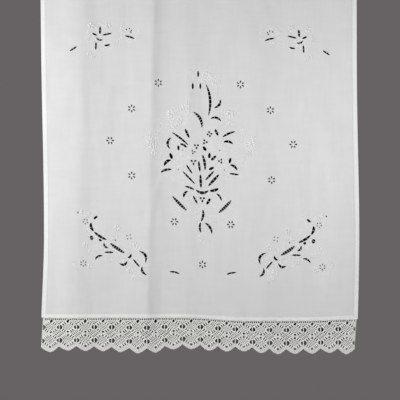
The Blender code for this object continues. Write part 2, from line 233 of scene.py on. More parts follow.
def cotton_thread(name, colour, pitch):
    """Mercerised cotton thread, with its turns across the attribute run, a length in metres. Between the
    turns its colour is darkened by a tenth, a painted shade.
    """
    add, finish = new_material(name)
    run = add("Attribute", attribute_name="run").outputs["Fac"]
    phase = add("Math", {0: run, 1: 2.0 * pi / pitch}, operation="MULTIPLY")
    turns = add("Math", {0: phase}, operation="SINE")
    fuzz = add("TexNoise", {"Vector": add("TexCoord").outputs["Object"], "Scale": 900.0, "Detail": 2.0})
    height = add("Math", {0: fuzz, 1: 0.5, 2: turns}, operation="MULTIPLY_ADD")
    raised = add("Bump", {"Strength": 0.45, "Distance": 0.00012, "Height": height})
    # painted shade: the colour falls to 0.9 between the thread's turns
    twist_painted_shade = add("MapRange", {"Value": turns, "From Min": -1.0, "To Min": 0.90})
    return finish(add("BsdfPrincipled", {"Base Color": blend(add, twist_painted_shade, (0.0, 0.0, 0.0), colour),
                                         "Roughness": 0.6, "Sheen Weight": 0.15, "Sheen Roughness": 0.4,
                                         "Normal": raised, "Specular IOR Level": 0.35}))


def woven_sheet(columns, rows, place):
    """An open sheet of columns x rows cells, with each corner put by place(column, row)."""
    bm = bmesh.new()
    bmesh.ops.create_grid(bm, x_segments=columns, y_segments=rows, size=1.0)
    for vert in bm.verts:
        column = round((vert.co.x + 1.0) / 2.0 * columns)
        row = round((1.0 - vert.co.y) / 2.0 * rows)
        vert.co = place(column, row)
    return bm


def face_front(bm):
    """Turn the sheet's faces so that its front ones look towards -Y."""
    bmesh.ops.recalc_face_normals(bm, faces=bm.faces)
    bm.normal_update()
    if sum(face.normal.y * face.calc_area() for face in bm.faces) > 0.0:
        bmesh.ops.reverse_faces(bm, faces=bm.faces)


def add_piece(name, bm, materials):
    """Make the finished mesh a piece of the curtain."""
    mesh = bpy.data.meshes.new(name)
    bm.to_mesh(mesh)
    bm.free()
    for material in materials:
        mesh.materials.append(material)
    mesh.shade_smooth()
    piece = bpy.data.objects.new(name, mesh)
    bpy.context.collection.objects.link(piece)
    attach(piece, "root")
    return piece


def thread_mesh(name, routes, radius, sides, closed):
    """Tubes of thread along routes of (x, y, z) points. Their attribute run is the length so far."""
    curve = bpy.data.curves.new(name, "CURVE")
    curve.dimensions = "3D"
    curve.bevel_depth = radius
    curve.bevel_resolution = (sides - 4) // 2
    curve.use_fill_caps = not closed
    runs = []
    for route in routes:
        spline = curve.splines.new("POLY")
        spline.points.add(len(route) - 1)
        spline.use_cyclic_u = closed
        run = 0.0
        for number, (point, spot) in enumerate(zip(spline.points, route)):
            point.co = (*spot, 1.0)
            run += (Vector(spot) - Vector(route[max(number - 1, 0)])).length
            runs += [run] * sides
    guide = bpy.data.objects.new(name, curve)
    bpy.context.collection.objects.link(guide)
    graph = bpy.context.evaluated_depsgraph_get()
    mesh = bpy.data.meshes.new_from_object(guide.evaluated_get(graph), depsgraph=graph)
    caps = len(mesh.vertices) - len(runs)
    length = mesh.attributes.new("run", "FLOAT", "POINT")
    length.data.foreach_set("value", [0.0] * caps + runs)
    bm = bmesh.new()
    bm.from_mesh(mesh)
    bpy.data.objects.remove(guide)
    bpy.data.meshes.remove(mesh)
    bpy.data.curves.remove(curve)
    if not closed:
        bmesh.ops.remove_doubles(bm, verts=bm.verts, dist=radius * 0.01)
    bmesh.ops.recalc_face_normals(bm, faces=bm.faces)
    return bm


single_batiste = batiste("batiste", SEE_THROUGH)
turned_batiste = batiste("turned_batiste", HEM_COVER)
white_thread = cotton_thread("white_thread", (0.84, 0.84, 0.83), 0.0009)


def pocket_profile():
    """The cloth's way from its front tail over the crest to its back tail, as (y, z) points."""
    profile = [(-CLOTH_Y, POCKET_FOOT), (-CLOTH_Y, STITCH_LINE)]
    radius = CREST_RADIUS - CLOTH_Y
    for step in range(CREST_STEPS + 1):
        angle = pi + POCKET_SLOPE - (pi + 2.0 * POCKET_SLOPE) * step / CREST_STEPS
        profile.append((radius * cos(angle), -CREST_RADIUS + radius * sin(angle)))
    return profile + [(CLOTH_Y, STITCH_LINE), (CLOTH_Y, POCKET_FOOT)]


def pucker(x, z):
    wave = sin(2.0 * pi * x / PUCKER_PITCH + PUCKER_WANDER * sin(WANDER_TURN * x))
    return PUCKER * wave * exp(-((z - STITCH_LINE) / PUCKER_REACH) ** 2)


def pocket_sheet(left, right, columns, inset):
    """The pocket's cloth from one x to another, moved into the tunnel by inset."""
    profile = pocket_profile()
    shrink = 1.0 - inset / CREST_RADIUS

    def place(column, row):
        x = left + (right - left) * column / columns
        y, z = profile[row]
        y, z = y * shrink, z if z <= STITCH_LINE else -CREST_RADIUS + (z + CREST_RADIUS) * shrink
        return x, y + pucker(x, z), z

    bm = woven_sheet(columns, len(profile) - 1, place)
    bmesh.ops.reverse_faces(bm, faces=bm.faces)
    return bm


pocket_bm = pocket_sheet(LEFT_END, RIGHT_END, POCKET_COLUMNS, 0.0)
for face in pocket_bm.faces:
    middle = face.calc_center_median()
    face.material_index = min(middle.x - LEFT_END, RIGHT_END - middle.x) < SIDE_HEM
pocket = add_piece("pocket_cloth", pocket_bm, [single_batiste, turned_batiste])
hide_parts("rod_pocket")

for side, start in (("left", LEFT_END), ("right", RIGHT_END - SIDE_HEM)):
    hem_bm = pocket_sheet(start, start + SIDE_HEM, 2, LAYER_GAP)
    add_piece("pocket_hem_" + side, hem_bm, [turned_batiste])

seam_routes = []
for number in range(int((RIGHT_END - LEFT_END) / STITCH_PITCH)):
    start = LEFT_END + STITCH_PITCH * (number + SEAM_START)
    for side in (-1.0, 1.0):
        ends = [start, start + STITCH_LENGTH / 2.0, start + STITCH_LENGTH]
        rise = [0.0, STITCH_RADIUS, 0.0]
        seam_routes.append([(x, side * (CLOTH_Y + lift) + pucker(x, STITCH_LINE), STITCH_LINE)
                            for x, lift in zip(ends, rise)])
add_piece("pocket_seam", thread_mesh("pocket_seam", seam_routes, STITCH_RADIUS, 4, False), [white_thread])

# Panel. One length of the same batiste hangs from the seam in a few soft folds, with openings cut in it
# for the whitework. Its side and foot edges are turned twice to the back.
MM = 0.001
PANEL_GAP = 0.0003
PANEL_TOP = POCKET_FOOT - PANEL_GAP
HEM_FOOT = -1.1112  # lower edge of the bottom hem, left half
HEM_SAG = 0.0080  # the right half hangs this much lower
SAG_START, SAG_END, SAG_RUN, SAG_RECOVERY = -0.035, 0.255, 0.150, 0.6
FOOT_HEM = 0.0086
TURN_UNDER = 0.010
UNDER_GAP = 0.6  # how close the raw edge lies, as a share of the gap between layers
UNDER_SHARE = 0.8  # how much of a narrow hem's width is turned under
SHARP_FOLD = radians(60.0)  # edges that turn by more are shaded sharp
BODY_COLUMNS, BODY_ROWS = 124, 166
HEM_CELLS = 2
DRAWN_ROW = 0.0022  # beside each side hem a few threads are drawn out
SIDE_LINES = (0.0, SIDE_HEM / 2.0, SIDE_HEM, SIDE_HEM + DRAWN_ROW)
DRAWN_ROW_COVER = 0.77
BOW_HEIGHT = -0.90
LEFT_BOW, LEFT_BOW_REACH = 0.0095, (0.38, 0.19)  # reach above and below that height
RIGHT_BOW, RIGHT_BOW_REACH = 0.0068, (0.26, 0.24)
Fold = namedtuple("Fold", "top_x foot_x height left_reach right_reach power")
FOLDS = [Fold(*row) for row in (
    (-0.302, -0.306, 0.0058, 0.075, 0.031, 2), (-0.262, -0.258, 0.0011, 0.030, 0.034, 2),
    (-0.108, -0.127, 0.0065, 0.090, 0.018, 1), (-0.024, -0.030, 0.0015, 0.030, 0.022, 2),
    (0.120, 0.155, 0.0022, 0.090, 0.060, 2), (0.395, 0.385, 0.0068, 0.105, 0.050, 2),
)]
FOLD_SETTLE = 0.24
# Shallow creases that run only part of the way, in metres on the cloth
Crease = namedtuple("Crease", "from_x from_z to_x to_z height reach")
CREASES = [Crease(*row) for row in (
    (-0.089, -0.752, -0.108, -0.786, 0.0011, 0.0036),
    (-0.103, -0.774, -0.117, -0.815, 0.0011, 0.0036),
    (-0.096, -0.750, -0.130, -0.905, 0.0012, 0.009),
    (-0.024, -0.460, -0.024, -0.600, 0.0009, 0.005),
    (-0.365, -0.385, -0.290, -0.405, 0.0012, 0.010),
    (-0.375, -0.435, -0.300, -0.445, 0.0010, 0.009),
    (-0.295, -0.500, -0.285, -0.700, 0.0011, 0.012),
    (-0.215, -0.470, -0.235, -0.640, 0.0009, 0.012), (0.200, -0.430, 0.270, -0.370, 0.0010, 0.008),
    (0.235, -0.520, 0.295, -0.395, 0.0009, 0.010), (0.160, -0.500, 0.140, -0.680, 0.0008, 0.012),
    (0.146, -0.440, 0.194, -0.382, 0.0005, 0.006), (0.330, -0.640, 0.352, -0.900, 0.0007, 0.012),
    (-0.385, -0.800, -0.250, -0.840, 0.0005, 0.014), (0.180, -1.000, 0.330, -1.045, 0.0006, 0.014),
    (-0.180, -1.000, -0.090, -1.060, 0.0006, 0.012),
)]


def ease(share):
    share = min(max(share, 0.0), 1.0)
    return share * share * (3.0 - 2.0 * share)


def sag(x):
    return HEM_SAG * (ease((x - SAG_START) / SAG_RUN) - SAG_RECOVERY * ease((x - SAG_END) / SAG_RUN))


def hem_foot(x):
    return HEM_FOOT - sag(x)


def edge_bow(z, reach):
    above, below = reach
    return exp(-((z - BOW_HEIGHT) / (above if z > BOW_HEIGHT else below)) ** 2)


def left_edge(z):
    return LEFT_END + LEFT_BOW * edge_bow(z, LEFT_BOW_REACH)


def right_edge(z):
    return RIGHT_END + RIGHT_BOW * edge_bow(z, RIGHT_BOW_REACH)


def crease_height(crease, x, z):
    """A crease's own height at a spot: a soft ridge that fades towards both ends."""
    run_x, run_z = crease.to_x - crease.from_x, crease.to_z - crease.from_z
    length = hypot(run_x, run_z)
    along = ((x - crease.from_x) * run_x + (z - crease.from_z) * run_z) / length ** 2
    across = ((x - crease.from_x) * run_z - (z - crease.from_z) * run_x) / length
    if not 0.0 < along < 1.0 or abs(across) > 3.0 * crease.reach:
        return 0.0
    return crease.height * exp(-(across / crease.reach) ** 2) * sin(pi * along)


def forward(x, z):
    """How far the hanging cloth stands in front of the pocket's stitch line."""
    total = 0.0
    for fold in FOLDS:
        across = x - fold.top_x - (fold.foot_x - fold.top_x) * z / HEM_FOOT
        reach = fold.left_reach if across < 0.0 else fold.right_reach
        total += fold.height * exp(-abs(across / reach) ** fold.power)
    total *= ease((PANEL_TOP - z) / FOLD_SETTLE)
    return total + sum(crease_height(crease, x, z) for crease in CREASES)


def hang(bm):
    """Let flat work follow the cloth's folds."""
    for vert in bm.verts:
        vert.co.y -= forward(vert.co.x, vert.co.z)


# Cut openings and worked leaves, in millimetres. x runs from the embroidery's centre line, z up from the
# hem. bow is how far the middle stands to the left, going from the first end to the second.
Leaf = namedtuple("Leaf", "from_x from_z to_x to_z bow width")
BOUQUET = [Leaf(*row) for row in (
    # top buds and the long stem
    (-5, 626, -5, 611, 0, 4), (-19, 595, -19, 580, 0, 4.5), (0, 595, 0, 581, 0, 4),
    (14, 593, 19, 514, 8, 6), (34, 534, 50, 555, -6, 6), (-19, 522, 2, 483, 8, 7),
    (25, 506, 51, 500, 6, 5.5),
    # upper left of the flower head
    (-40, 479, -30, 457, 0, 5.5), (-74, 470, -33, 438, 2, 4.5), (-75, 457, -79, 428, -8, 6),
    (-58, 437, -57, 425, 0, 5), (-53, 441, -37, 432, 2, 5.5), (-79, 417, -74, 403, 0, 7),
    (-77, 400, -94, 385, -4, 7), (-103, 368, -76, 376, 3, 5.5),
    # upper right of the flower head
    (36, 479, 43, 464, 0, 6), (55, 460, 86, 474, 2, 5), (57, 447, 80, 443, 4, 6),
    (74, 407, 71, 394, 0, 6), (73, 390, 90, 377, 3, 6), (71, 368, 94, 365, 0, 4),
    # heart of the flower head
    (5, 435, 12, 425, 0, 7), (-7, 398, -4, 372, 0, 5), (3, 414, 9, 376, 2, 6),
    (21, 419, 20, 406, 0, 6), (37, 412, 25, 401, 0, 6), (19, 377, 31, 383, 0, 6),
    # fan of stems above the knot
    (-38, 388, -24, 367, 0, 4), (-48, 372, -17, 340, 0, 4), (-3, 364, -2, 331, 0, 6),
    (31, 373, 10, 351, 0, 5), (44, 365, 17, 336, 0, 6.5),
    # knot
    (-42, 334, -20, 326, 1, 4.5), (-15, 326, 17, 324, -7, 7), (21, 323, 42, 329, -1, 7),
    # leaves below the knot
    (-36, 322, -46, 306, -3, 6), (37, 316, 49, 299, 3, 4.5), (-74, 308, -39, 273, -1, 7),
    (74, 300, 42, 268, 1, 7), (-22, 310, -12, 291, 0, 4.5), (21, 304, 12, 289, 0, 6.5),
    # tail
    (2, 275, -3, 246, 3, 5.5), (-4, 243, -4, 218, -2.5, 5), (7, 242, 24, 215, 4.5, 5.5),
)]
# These are worked twice, the second time mirrored in the centre line.
PAIRED = [Leaf(*row) for row in (
    # corner spray, from its outer end
    (274, 248, 265, 255, 0, 5), (281, 238, 275, 217, 3, 6.5), (273, 215, 243, 196, 2, 6),
    (282, 205, 279, 195, 0, 8.5), (262, 196, 255, 193, 0, 5), (249, 188, 239, 175, 4, 5),
    (233, 187, 198, 163, 1, 7.5), (248, 164, 226, 164, 0, 4), (272, 145, 253, 155, -4, 4.5),
    (190, 151, 181, 161, 3, 5), (211, 137, 191, 143, 7, 6), (176, 147, 160, 129, 0, 4),
    (161, 168, 146, 139, -10, 6), (153, 130, 142, 109, 6, 5.5),
    # flower and leaves of the upper spray
    (251, 734, 252, 716, 0, 5), (271, 717, 260, 712, 0, 4), (245, 713, 223, 718, 0, 4),
    (261, 707, 245, 702, 4, 4), (262, 695, 263, 676, 0, 4), (241, 687, 227, 690, 1, 4),
    (328, 671, 311, 682, 0, 4), (189, 712, 165, 705, -1, 4),
    # foot of the cloth
    (84, 117, 60, 112, -2, 4),
)]
# Small eyelets, also worked twice: each is a short leaf
EYELETS = [Leaf(*row) for row in (
    (313, 266, 314, 261, 0, 3.4), (222, 196, 218, 194, 0, 3.0), (46, 427, 48, 424, 0, 2.4),
    (57, 378, 59, 375, 0, 2.4), (183, 727, 187, 729, 0, 3.4), (178, 728, 177, 732, 0, 3.2),
    (174, 725, 170, 727, 0, 3.2), (176, 723, 172, 720, 0, 3.4),
)]
# Rosettes of slots around a centre, each slot from the inner to the outer radius. The small ones in the
# corner sprays are worked twice.
Rosette = namedtuple("Rosette", "x z slots first_degrees inner outer width", defaults=(3.8, 10.2, 3.9))
ROSETTES = [Rosette(*row) for row in (
    (295, 241, 5, 60, 3.6, 7.6, 3.1), (302, 135, 6, 90, 4.2, 8.6, 3.2),
    (186, 204, 4, 35, 4.0, 8.0, 3.0),
)]
LONE_ROSETTES = [Rosette(*row) for row in (
    # the ring of large ones around the bouquet, down the left, down the right and at the foot
    (-106, 594.5, 6, 90), (-174.5, 528.5, 6, 90), (-230, 446.5, 6, 0), (-176.5, 359, 6, 90),
    (-70.5, 244, 6, 0), (101.5, 593.5, 6, 90), (176.5, 529.5, 6, 90), (233, 444, 6, 0),
    (177, 353, 6, 90), (72, 239, 6, 0), (-1, 136.5, 6, 90),
    # three and four small holes close together, in the flower head
    (21.5, 467, 4, 10, 2.0, 7.8, 5.0), (10, 447, 3, 115, 1.4, 7.2, 5.2),
    (-12, 436, 3, 150, 1.4, 7.4, 5.0), (-20, 421, 3, 130, 1.2, 6.0, 4.0),
    (-20, 396, 3, 150, 1.6, 8.6, 4.8), (48.5, 399, 3, 180, 1.4, 7.0, 4.8),
    (1, 302, 3, 30, 1.6, 8.0, 5.4),
)]
DESIGN_FOOT = 0.0130
DESIGN_LEAN = 0.0143
DESIGN_TILT = 0.0155
DESIGN_BASE = -1.1138
LEAF_BLUNTNESS = 0.38
LEAF_STATIONS = (0.0, 0.05, 0.14, 0.26, 0.42, 0.58, 0.74, 0.86, 0.95, 1.0)
SLOT_STATIONS = (0.0, 0.12, 0.40, 0.75, 0.95, 1.0)
CUT_REACH = 0.30  # the cutters stand this far out of the sheet on each side
CUT_GROWTH = 0.70  # the cut edge lies this far under its rim, in millimetres


def design_place(x, z):
    """Put a point of the worked design, in metres, on the cloth as it hangs."""
    return x + DESIGN_FOOT - DESIGN_LEAN * z, DESIGN_BASE + z - DESIGN_TILT * x


def leaf_point(leaf, along, side, growth=0.0):
    """A point of a leaf; side is -1 or 1 on its rims and 0 on its middle line."""
    run_x, run_z = leaf.to_x - leaf.from_x, leaf.to_z - leaf.from_z
    length = hypot(run_x, run_z)
    ahead = along * length + growth * (2.0 * along - 1.0)
    stand = 4.0 * leaf.bow * along * (1.0 - along)
    stand += side * (0.5 * leaf.width + growth) * sin(pi * along) ** LEAF_BLUNTNESS
    x = leaf.from_x + (run_x * ahead - run_z * stand) / length
    z = leaf.from_z + (run_z * ahead + run_x * stand) / length
    return design_place(x * MM, z * MM)


def leaf_outline(leaf, stations, growth=0.0):
    there = [leaf_point(leaf, along, 1.0, growth) for along in stations]
    back = [leaf_point(leaf, along, -1.0, growth) for along in reversed(stations[1:-1])]
    return there + back


def mirrored(leaf):
    return leaf._replace(from_x=-leaf.from_x, to_x=-leaf.to_x, bow=-leaf.bow)


def rosette_slots(rosette):
    slots = []
    for number in range(rosette.slots):
        angle = radians(rosette.first_degrees + 360.0 * number / rosette.slots)
        near = (rosette.x + rosette.inner * cos(angle), rosette.z + rosette.inner * sin(angle))
        far = (rosette.x + rosette.outer * cos(angle), rosette.z + rosette.outer * sin(angle))
        slots.append(Leaf(*near, *far, 0, rosette.width))
    return slots


openings = list(BOUQUET)
small_openings = [slot for rosette in LONE_ROSETTES for slot in rosette_slots(rosette)]
for leaf in PAIRED:
    openings += [leaf, mirrored(leaf)]
for leaf in EYELETS:
    small_openings += [leaf, mirrored(leaf)]
for rosette in ROSETTES:
    for slot in rosette_slots(rosette):
        small_openings += [slot, mirrored(slot)]


def cut_through(bm, outlines, overlapping=False):
    """Cut closed outlines of (x, z) points out of a flat open sheet."""
    sheet_mesh = bpy.data.meshes.new("uncut")
    bm.to_mesh(sheet_mesh)
    bm.free()
    tool_bm = bmesh.new()
    for outline in outlines:
        cap = tool_bm.faces.new([tool_bm.verts.new((x, -CUT_REACH, z)) for x, z in outline])
        raised = bmesh.ops.extrude_face_region(tool_bm, geom=[cap], use_keep_orig=True)["geom"]
        far = [item for item in raised if isinstance(item, bmesh.types.BMVert)]
        bmesh.ops.translate(tool_bm, verts=far, vec=(0.0, 2.0 * CUT_REACH, 0.0))
    bmesh.ops.recalc_face_normals(tool_bm, faces=tool_bm.faces)
    tool_mesh = bpy.data.meshes.new("cutters")
    tool_bm.to_mesh(tool_mesh)
    tool_bm.free()
    helpers = [bpy.data.objects.new(mesh.name, mesh) for mesh in (sheet_mesh, tool_mesh)]
    for helper in helpers:
        bpy.context.collection.objects.link(helper)
    boolean = helpers[0].modifiers.new("cut", "BOOLEAN")
    boolean.operation = "DIFFERENCE"
    boolean.solver = "EXACT"
    boolean.use_self = overlapping
    boolean.object = helpers[1]
    graph = bpy.context.evaluated_depsgraph_get()
    cut = bmesh.new()
    cut.from_mesh(helpers[0].evaluated_get(graph).to_mesh())
    # the solver can leave the end of a cutter behind, far off the sheet
    strays = [vert for vert in cut.verts if abs(vert.co.y) > CUT_REACH / 2.0]
    bmesh.ops.delete(cut, geom=strays, context="VERTS")
    for helper in helpers:
        bpy.data.objects.remove(helper)
    return cut


side_cells = len(SIDE_LINES) - 1
panel_columns = BODY_COLUMNS + 2 * side_cells


def panel_line(column, z):
    """Where a line of the panel's cells runs at height z: the hems have cells of their own."""
    left, right = left_edge(z), right_edge(z)
    if column <= side_cells:
        return left + SIDE_LINES[column]
    if panel_columns - column <= side_cells:
        return right - SIDE_LINES[panel_columns - column]
    share = (column - side_cells) / BODY_COLUMNS
    return left + SIDE_LINES[-1] + (right - left - 2.0 * SIDE_LINES[-1]) * share


def panel_place(column, row):
    share = min(row / BODY_ROWS, 1.0)
    height = PANEL_TOP + (HEM_FOOT + FOOT_HEM - PANEL_TOP) * share
    x = panel_line(column, height)
    if row <= BODY_ROWS:
        return x, CLOTH_Y, PANEL_TOP + (hem_foot(x) + FOOT_HEM - PANEL_TOP) * share
    return x, CLOTH_Y, hem_foot(x) + FOOT_HEM * (1.0 - (row - BODY_ROWS) / HEM_CELLS)


def turn_hem(bm, on_edge, inward, width):
    """Turn the flat sheet's edge to the back, and its raw edge under."""
    edges = [edge for edge in bm.edges if edge.is_boundary and all(on_edge(vert.co) for vert in edge.verts)]
    inward = Vector(inward)
    steps = ((0.0, LAYER_GAP), (width, 0.0), (0.0, LAYER_GAP * UNDER_GAP),
             (-min(width * UNDER_SHARE, TURN_UNDER), 0.0))
    for along, back in steps:
        grown = bmesh.ops.extrude_edge_only(bm, edges=edges)["geom"]
        edges = [item for item in grown if isinstance(item, bmesh.types.BMEdge) and item.is_boundary]
        verts = {item for item in grown if isinstance(item, bmesh.types.BMVert)}
        edges = [edge for edge in edges if all(vert in verts for vert in edge.verts)]
        bmesh.ops.translate(bm, verts=list(verts), vec=inward * along + Vector((0.0, back, 0.0)))


NEAR = 0.0002  # how far a corner may lie from an edge and still belong to it
panel_bm = woven_sheet(panel_columns, BODY_ROWS + HEM_CELLS, panel_place)
panel_bm = cut_through(panel_bm, [leaf_outline(leaf, LEAF_STATIONS, CUT_GROWTH) for leaf in openings]
                       + [leaf_outline(leaf, SLOT_STATIONS) for leaf in small_openings])
turn_hem(panel_bm, lambda spot: spot.x < left_edge(spot.z) + NEAR, (1.0, 0.0, 0.0), SIDE_HEM)
turn_hem(panel_bm, lambda spot: spot.x > right_edge(spot.z) - NEAR and spot.y < CLOTH_Y + NEAR,
         (-1.0, 0.0, 0.0), SIDE_HEM)
turn_hem(panel_bm, lambda spot: spot.z < hem_foot(spot.x) + NEAR and spot.y < CLOTH_Y + NEAR,
         (0.0, 0.0, 1.0), FOOT_HEM)
for face in panel_bm.faces:
    middle = face.calc_center_median()
    beside = min(middle.x - left_edge(middle.z), right_edge(middle.z) - middle.x)
    if beside < SIDE_HEM or middle.z < hem_foot(middle.x) + FOOT_HEM:
        face.material_index = 1
    elif beside < SIDE_LINES[-1]:
        face.material_index = 2
hang(panel_bm)
face_front(panel_bm)
drawn_batiste = batiste("drawn_batiste", DRAWN_ROW_COVER)
panel = add_piece("panel_cloth", panel_bm, [single_batiste, turned_batiste, drawn_batiste])
panel.data.set_sharp_from_angle(angle=SHARP_FOLD)
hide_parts("panel")

# Whitework. Each opening is overcast with close buttonhole stitches, and sewn bars cross the longer ones
# like a ladder's rungs. The small slots of the rosettes are overcast more finely.
RIM_RADIUS = 0.00070
RIM_GROWTH = 1.10  # from the opening's edge to the rim's middle, in millimetres
SLOT_RIM_RADIUS = 0.00050
BAR_RADIUS = 0.00042
BAR_PITCH = 10.5  # millimetres
CLOSE_BAR_PITCH = 6.0  # across the largest leaves and the round hole
WIDE_LEAF, LONG_LEAF, ROUND_HOLE = 7.0, 40.0, 11.0  # from what width, above and below what length
RIM_FLATNESS = 0.55
SLOT_RIM_GROWTH = 0.8  # of the slots' rim radius


def lay_on_cloth(name, routes, radius, material, closed=False, flatness=1.0, sides=6, cloth_y=CLOTH_Y):
    """Lay thread on the front of the hanging cloth, along routes of (x, z) points."""
    bm = thread_mesh(name, [[(x, 0.0, z) for x, z in route] for route in routes], radius, sides, closed)
    for vert in bm.verts:
        vert.co.y = cloth_y + vert.co.y * flatness
    hang(bm)
    add_piece(name, bm, [material])


lay_on_cloth("opening_rims", [leaf_outline(leaf, LEAF_STATIONS, RIM_GROWTH) for leaf in openings],
             RIM_RADIUS, white_thread, closed=True, flatness=RIM_FLATNESS)
lay_on_cloth("slot_rims", [leaf_outline(leaf, SLOT_STATIONS, SLOT_RIM_RADIUS / MM * SLOT_RIM_GROWTH)
                           for leaf in small_openings], SLOT_RIM_RADIUS, white_thread, closed=True,
             flatness=RIM_FLATNESS, sides=4)
bar_routes = []
for leaf in openings:
    length = hypot(leaf.to_x - leaf.from_x, leaf.to_z - leaf.from_z)
    close = leaf.width >= WIDE_LEAF and not ROUND_HOLE <= length <= LONG_LEAF
    gaps = max(1, round(length / (CLOSE_BAR_PITCH if close else BAR_PITCH)))
    for number in range(1, gaps):
        along = number / gaps
        bar_routes.append([leaf_point(leaf, along, side, RIM_GROWTH) for side in (-1.0, 0.0, 1.0)])
lay_on_cloth("opening_bars", bar_routes, BAR_RADIUS, white_thread)

# Satin stitch. The small flowers, leaves and sprigs between the openings are padded and worked over with
# close flat stitches in the same white thread, and stem stitch joins them.
PAD_RISE = 0.00040
PAD_SLOPE = 0.30  # share of a leaf's width that slopes up to its flat top
SATIN_PITCH = 0.0006
PETAL_STATIONS = (0.0, 0.08, 0.25, 0.50, 0.75, 0.92, 1.0)
PAD_LIFT = 0.0001  # of the padding's edge, from the cloth
SATIN_ROOM = 1.2  # from a worked leaf to the next opening, in millimetres
STEM_RADIUS = 0.00055
STEM_STEPS = 6
PETAL_ROOT, PETAL_WIDTH = 0.22, 0.42  # of the flower's radius
Flower = namedtuple("Flower", "x z radius petals turn")
FLOWERS = [Flower(*row) for row in (
    (128, 446, 10, 7, 15), (139, 437, 7, 5, 50), (117, 438, 7, 6, 0), (133, 458, 7, 5, 80),
    (75, 519, 11, 5, 40), (33, 541, 8, 5, 0), (274, 736, 9, 5, 20), (231, 737, 8, 5, 50),
    (216, 226, 9, 6, 0), (309, 266, 10, 6, 30), (296, 181, 8, 5, 10), (285, 128, 8, 5, 45),
    (169, 183, 9, 5, 20), (183, 120, 10, 6, 10),
)]
Sprig = namedtuple("Sprig", "from_x from_z to_x to_z bow pairs leaf_length")
SPRIG_START, SPRIG_END = 0.6, 0.4  # a pair stands at (number + start) / (pairs + end) of the stem
SPRIG_LARGEST, SPRIG_TAPER = 1.05, 0.45  # a leaf's size at the root, and how much less at the tip
SPRIG_LEAN = 0.75  # how far a leaf leans ahead, for each length aside
SPRIG_GAP, SPRIG_BOW, SPRIG_WIDTH = 0.9, 0.5, 0.34  # in millimetres, but the width as a share of the size
TIP_LENGTH, TIP_WIDTH = 0.6, 0.24  # the leaf at the end, as shares of leaf_length
SPRIGS = [Sprig(*row) for row in (
    (118, 463, 104, 486, 3, 3, 8), (128, 424, 104, 398, -5, 4, 9), (74, 508, 60, 484, 3, 3, 8),
    (277, 724, 281, 700, 2, 3, 8), (236, 728, 250, 742, 2, 2, 7), (286, 672, 262, 660, 4, 4, 8),
    (205, 722, 194, 742, 3, 3, 7), (206, 706, 196, 692, 2, 2, 7), (216, 213, 226, 184, 4, 4, 9),
    (196, 214, 176, 196, -3, 3, 8), (300, 258, 284, 262, 3, 3, 8), (290, 172, 268, 160, 3, 3, 8),
    (250, 146, 226, 150, 3, 3, 8), (205, 152, 186, 168, -3, 3, 8), (182, 108, 160, 98, 3, 3, 8),
    (326, 150, 318, 122, 3, 3, 7),
)]
LONE_SPRIGS = [Sprig(*row) for row in (
    (-2, 596, 14, 634, -4, 5, 10), (-10, 606, -24, 628, 4, 3, 8), (16, 618, 52, 600, -5, 6, 9),
    (36, 600, 38, 556, 2, 5, 8), (-22, 532, -66, 520, -6, 6, 11), (-46, 512, -76, 484, 5, 5, 10),
    (38, 516, 84, 520, 5, 5, 10), (-2, 214, -8, 188, 2, 3, 8),
)]


def flower_petals(flower):
    petals = []
    for number in range(flower.petals):
        angle = radians(flower.turn + 360.0 * number / flower.petals)
        near, far = PETAL_ROOT * flower.radius, flower.radius
        petals.append(Leaf(flower.x + near * cos(angle), flower.z + near * sin(angle),
                           flower.x + far * cos(angle), flower.z + far * sin(angle), 0,
                           PETAL_WIDTH * flower.radius))
    return petals


def sprig_stem(sprig):
    return Leaf(sprig.from_x, sprig.from_z, sprig.to_x, sprig.to_z, sprig.bow, 0.0)


def sprig_leaves(sprig):
    """Pairs of small leaves that stand off the stem, shorter towards its tip, and one at the end."""
    run_x, run_z = sprig.to_x - sprig.from_x, sprig.to_z - sprig.from_z
    length = hypot(run_x, run_z)
    ahead = Vector((run_x / length, run_z / length))
    aside = Vector((-ahead.y, ahead.x))
    leaves = []
    for number in range(sprig.pairs):
        share = (number + SPRIG_START) / (sprig.pairs + SPRIG_END)
        root = Vector((sprig.from_x, sprig.from_z)) + ahead * share * length
        root += aside * 4.0 * sprig.bow * share * (1.0 - share)
        size = sprig.leaf_length * (SPRIG_LARGEST - SPRIG_TAPER * share)
        for side in (-1.0, 1.0):
            heading = (ahead * SPRIG_LEAN + aside * side).normalized()
            near, far = root + heading * SPRIG_GAP, root + heading * size
            leaves.append(Leaf(near.x, near.y, far.x, far.y, side * SPRIG_BOW, SPRIG_WIDTH * size))
    tip = Vector((sprig.to_x, sprig.to_z))
    far = tip + ahead * TIP_LENGTH * sprig.leaf_length
    leaves.append(Leaf(tip.x, tip.y, far.x, far.y, 0, TIP_WIDTH * sprig.leaf_length))
    return leaves


def satin_stitch(name, colour):
    """Close flat stitches. They follow each other in the direction of the attribute grain."""
    add, finish = new_material(name)
    place = add("TexCoord").outputs["Object"]
    grain = add("Attribute", attribute_name="grain").outputs["Vector"]
    ahead = add("VectorMath", {0: place, 1: grain}, operation="DOT_PRODUCT").outputs["Value"]
    phase = add("Math", {0: ahead, 1: 2.0 * pi / SATIN_PITCH}, operation="MULTIPLY")
    threads = add("Math", {0: phase}, operation="SINE")
    raised = add("Bump", {"Strength": 0.5, "Distance": 0.0001, "Height": threads})
    uneven = add("TexNoise", {"Vector": place, "Scale": 260.0, "Detail": 2.0})
    tint = blend(add, uneven, [0.95 * value for value in colour], colour)
    return finish(add("BsdfPrincipled", {"Base Color": tint, "Roughness": 0.5, "Sheen Weight": 0.2,
                                         "Sheen Roughness": 0.35, "Normal": raised,
                                         "Specular IOR Level": 0.4}))


